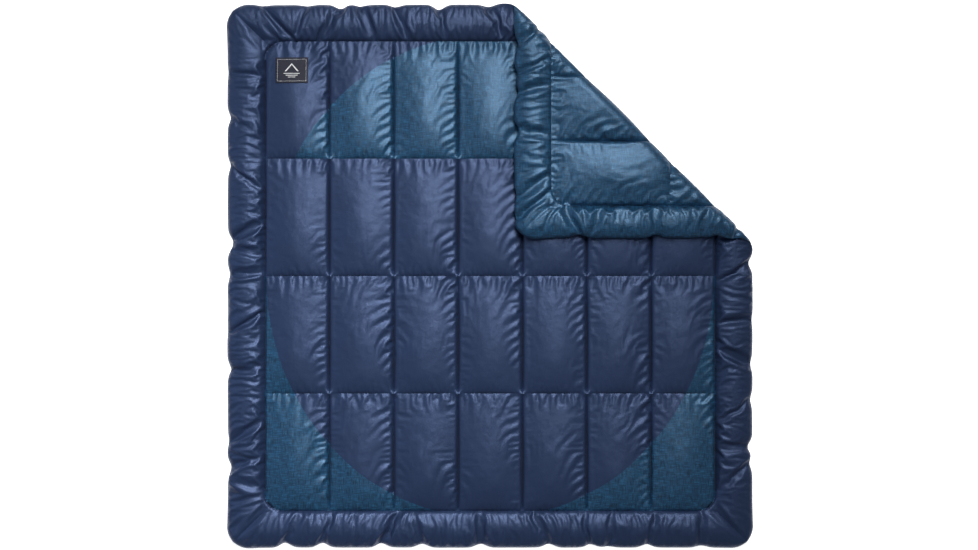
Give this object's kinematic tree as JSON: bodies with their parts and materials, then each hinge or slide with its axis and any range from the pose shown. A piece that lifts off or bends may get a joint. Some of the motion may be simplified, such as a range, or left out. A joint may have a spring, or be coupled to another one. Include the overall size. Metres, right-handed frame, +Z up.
{
  "type": "camp quilt",
  "caption": "Two-person lofted camp quilt, sewn through into chambers, in navy with heathered teal blocks, one head corner turned back.",
  "frame": {"origin": "middle of the underside, on the surface that the quilt lies on", "axes": "+X to the quilt's right, +Y towards the head end where the corner is turned back, +Z up out of the face"},
  "size_m": [1.96, 2.03, 0.0803],
  "materials": {
    "navy_taffeta": "satin",
    "teal_heather": "satin",
    "insulation": "matte",
    "label": "matte",
    "thread": "satin"
  },
  "bodies": {
    "quilt": {"back_panel": "teal_heather", "border_fill_foot": "insulation", "border_fill_head": "insulation", "border_fill_left": "insulation", "border_fill_right": "insulation", "border_strip_foot": "navy_taffeta", "border_strip_head": "navy_taffeta", "border_strip_left": "navy_taffeta", "border_strip_right": "navy_taffeta", "face_navy_body": "navy_taffeta", "face_navy_head_left": "navy_taffeta", "face_teal_cap": "teal_heather", "face_teal_foot_left": "teal_heather", "face_teal_foot_right": "teal_heather", "fill_row1_col1": "insulation", "fill_row1_col2": "insulation", "fill_row1_col3": "insulation", "fill_row1_col4": "insulation", "fill_row1_col5": "insulation", "fill_row1_col6": "insulation", "fill_row1_col7": "insulation", "fill_row2_col1": "insulation", "fill_row2_col2": "insulation", "fill_row2_col3": "insulation", "fill_row2_col4": "insulation", "fill_row2_col5": "insulation", "fill_row2_col6": "insulation", "fill_row2_col7": "insulation", "fill_row3_col1": "insulation", "fill_row3_col2": "insulation", "fill_row3_col3": "insulation", "fill_row3_col4": "insulation", "fill_row3_col5": "insulation", "fill_row3_col6": "insulation", "fill_row3_col7": "insulation", "fill_row4_col1": "insulation", "fill_row4_col2": "insulation", "fill_row4_col3": "insulation", "fill_row4_col4": "insulation", "fill_row4_col5": "insulation", "fill_row4_col6": "insulation", "fill_row4_col7": "insulation", "seam_thread": "thread", "woven_label": "label"},
    "turned_corner": {"back_panel_corner": "teal_heather", "border_fill_head_corner": "insulation", "border_fill_right_corner": "insulation", "border_strip_head_corner": "navy_taffeta", "border_strip_right_corner": "navy_taffeta", "face_navy_body_corner": "navy_taffeta", "face_navy_head_right_corner": "navy_taffeta", "face_teal_cap_corner": "teal_heather", "fill_row1_col5_corner": "insulation", "fill_row1_col6_corner": "insulation", "fill_row1_col7_corner": "insulation", "fill_row2_col7_corner": "insulation", "seam_thread_head_corner": "thread", "seam_thread_right_corner": "thread"}
  },
  "joints": [
    {"name": "corner_fold", "type": "hinge", "parent": "quilt", "child": "turned_corner", "pos_m": [0.552, 0.552, 0.04015], "axis": [-0.7071, 0.7071, 0], "range_deg": [0, 180]}
  ]
}
